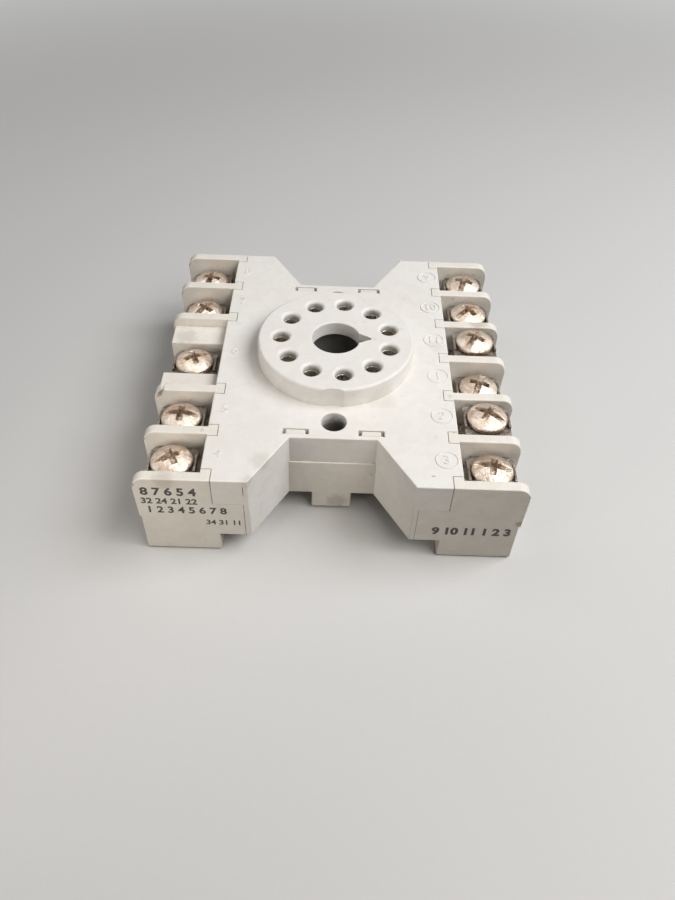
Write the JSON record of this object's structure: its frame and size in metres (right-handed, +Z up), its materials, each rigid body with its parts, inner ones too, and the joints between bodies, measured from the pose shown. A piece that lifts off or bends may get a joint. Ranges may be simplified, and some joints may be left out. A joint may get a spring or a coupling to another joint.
{
  "type": "relay socket",
  "caption": "Plug-in relay socket: butterfly-shaped housing, raised round keyed seat with a ring of pin holes, screw terminals between barriers, feet for a 35 mm rail.",
  "frame": {"origin": "centre of the underside, level with the bottom faces of the two feet", "axes": "+Z up out of the deck; X across the two terminal rows, with the keyway of the relay seat towards +X; Y along the rows and along the rail"},
  "size_m": [0.0604, 0.0606, 0.0207],
  "materials": {
    "base_plastic": "warm grey moulded plastic, slightly yellowed",
    "cover_plastic": "pale cool grey moulded plastic, satin",
    "contact_metal": "tin-plated brass strip",
    "clamp_metal": "nickel-plated steel",
    "screw_metal": "nickel-plated steel, dull and warm with age"
  },
  "bodies": {
    "housing": {"base": "base_plastic", "cover": "cover_plastic", "contact_1": "contact_metal", "contact_2": "contact_metal", "contact_3": "contact_metal", "contact_4": "contact_metal", "contact_5": "contact_metal", "contact_6": "contact_metal", "contact_7": "contact_metal", "contact_8": "contact_metal", "contact_9": "contact_metal", "contact_10": "contact_metal", "contact_11": "contact_metal"},
    "clamp_1": {"clamp_1": "clamp_metal"},
    "screw_1": {"screw_1": "screw_metal"},
    "clamp_2": {"clamp_2": "clamp_metal"},
    "screw_2": {"screw_2": "screw_metal"},
    "clamp_3": {"clamp_3": "clamp_metal"},
    "screw_3": {"screw_3": "screw_metal"},
    "clamp_4": {"clamp_4": "clamp_metal"},
    "screw_4": {"screw_4": "screw_metal"},
    "clamp_5": {"clamp_5": "clamp_metal"},
    "screw_5": {"screw_5": "screw_metal"},
    "clamp_6": {"clamp_6": "clamp_metal"},
    "screw_6": {"screw_6": "screw_metal"},
    "clamp_7": {"clamp_7": "clamp_metal"},
    "screw_7": {"screw_7": "screw_metal"},
    "clamp_8": {"clamp_8": "clamp_metal"},
    "screw_8": {"screw_8": "screw_metal"},
    "clamp_9": {"clamp_9": "clamp_metal"},
    "screw_9": {"screw_9": "screw_metal"},
    "clamp_10": {"clamp_10": "clamp_metal"},
    "screw_10": {"screw_10": "screw_metal"},
    "clamp_11": {"clamp_11": "clamp_metal"},
    "screw_11": {"screw_11": "screw_metal"}
  },
  "joints": [
    {"name": "clamp_1_lift", "type": "slide", "parent": "housing", "child": "clamp_1", "axis": [0, 0, 1], "range_m": [-0.00125, 0.00315]},
    {"name": "screw_1_turn", "type": "hinge", "parent": "clamp_1", "child": "screw_1", "pos_m": [-0.0251, 0.0245, 0.01355], "axis": [0, 0, 1], "range_deg": [-750.1, 1890.1]},
    {"name": "clamp_2_lift", "type": "slide", "parent": "housing", "child": "clamp_2", "axis": [0, 0, 1], "range_m": [-0.0011, 0.0033]},
    {"name": "screw_2_turn", "type": "hinge", "parent": "clamp_2", "child": "screw_2", "pos_m": [-0.0251, 0.0147, 0.0134], "axis": [0, 0, 1], "range_deg": [-660.1, 1980.1]},
    {"name": "clamp_3_lift", "type": "slide", "parent": "housing", "child": "clamp_3", "axis": [0, 0, 1], "range_m": [-0.0012, 0.0032]},
    {"name": "screw_3_turn", "type": "hinge", "parent": "clamp_3", "child": "screw_3", "pos_m": [-0.0251, 0, 0.0135], "axis": [0, 0, 1], "range_deg": [-720.1, 1920.1]},
    {"name": "clamp_4_lift", "type": "slide", "parent": "housing", "child": "clamp_4", "axis": [0, 0, 1], "range_m": [-0.00165, 0.00275]},
    {"name": "screw_4_turn", "type": "hinge", "parent": "clamp_4", "child": "screw_4", "pos_m": [-0.0251, -0.0147, 0.01395], "axis": [0, 0, 1], "range_deg": [-990.1, 1650.1]},
    {"name": "clamp_5_lift", "type": "slide", "parent": "housing", "child": "clamp_5", "axis": [0, 0, 1], "range_m": [-0.0018, 0.0026]},
    {"name": "screw_5_turn", "type": "hinge", "parent": "clamp_5", "child": "screw_5", "pos_m": [-0.0251, -0.0245, 0.0141], "axis": [0, 0, 1], "range_deg": [-1080.1, 1560.1]},
    {"name": "clamp_6_lift", "type": "slide", "parent": "housing", "child": "clamp_6", "axis": [0, 0, 1], "range_m": [-0.0023, 0.0021]},
    {"name": "screw_6_turn", "type": "hinge", "parent": "clamp_6", "child": "screw_6", "pos_m": [0.0251, 0.0245, 0.0146], "axis": [0, 0, 1], "range_deg": [-1380.1, 1260.1]},
    {"name": "clamp_7_lift", "type": "slide", "parent": "housing", "child": "clamp_7", "axis": [0, 0, 1], "range_m": [-0.00255, 0.00185]},
    {"name": "screw_7_turn", "type": "hinge", "parent": "clamp_7", "child": "screw_7", "pos_m": [0.0251, 0.0147, 0.01485], "axis": [0, 0, 1], "range_deg": [-1530.1, 1110.1]},
    {"name": "clamp_8_lift", "type": "slide", "parent": "housing", "child": "clamp_8", "axis": [0, 0, 1], "range_m": [-0.00385, 0.00055]},
    {"name": "screw_8_turn", "type": "hinge", "parent": "clamp_8", "child": "screw_8", "pos_m": [0.0251, 0.0049, 0.01615], "axis": [0, 0, 1], "range_deg": [-2310.1, 330.1]},
    {"name": "clamp_9_lift", "type": "slide", "parent": "housing", "child": "clamp_9", "axis": [0, 0, 1], "range_m": [-0.0015, 0.0029]},
    {"name": "screw_9_turn", "type": "hinge", "parent": "clamp_9", "child": "screw_9", "pos_m": [0.0251, -0.0049, 0.0138], "axis": [0, 0, 1], "range_deg": [-900.1, 1740.1]},
    {"name": "clamp_10_lift", "type": "slide", "parent": "housing", "child": "clamp_10", "axis": [0, 0, 1], "range_m": [-0.00385, 0.00055]},
    {"name": "screw_10_turn", "type": "hinge", "parent": "clamp_10", "child": "screw_10", "pos_m": [0.0251, -0.0147, 0.01615], "axis": [0, 0, 1], "range_deg": [-2310.1, 330.1]},
    {"name": "clamp_11_lift", "type": "slide", "parent": "housing", "child": "clamp_11", "axis": [0, 0, 1], "range_m": [-0.0018, 0.0026]},
    {"name": "screw_11_turn", "type": "hinge", "parent": "clamp_11", "child": "screw_11", "pos_m": [0.0251, -0.0245, 0.0141], "axis": [0, 0, 1], "range_deg": [-1080.1, 1560.1]}
  ],
  "couplings": [
    {"joint": "screw_1_turn", "follows": "clamp_1_lift", "rad_per_m": 10472},
    {"joint": "screw_2_turn", "follows": "clamp_2_lift", "rad_per_m": 10472},
    {"joint": "screw_3_turn", "follows": "clamp_3_lift", "rad_per_m": 10472},
    {"joint": "screw_4_turn", "follows": "clamp_4_lift", "rad_per_m": 10472},
    {"joint": "screw_5_turn", "follows": "clamp_5_lift", "rad_per_m": 10472},
    {"joint": "screw_6_turn", "follows": "clamp_6_lift", "rad_per_m": 10472},
    {"joint": "screw_7_turn", "follows": "clamp_7_lift", "rad_per_m": 10472},
    {"joint": "screw_8_turn", "follows": "clamp_8_lift", "rad_per_m": 10472},
    {"joint": "screw_9_turn", "follows": "clamp_9_lift", "rad_per_m": 10472},
    {"joint": "screw_10_turn", "follows": "clamp_10_lift", "rad_per_m": 10472},
    {"joint": "screw_11_turn", "follows": "clamp_11_lift", "rad_per_m": 10472}
  ]
}
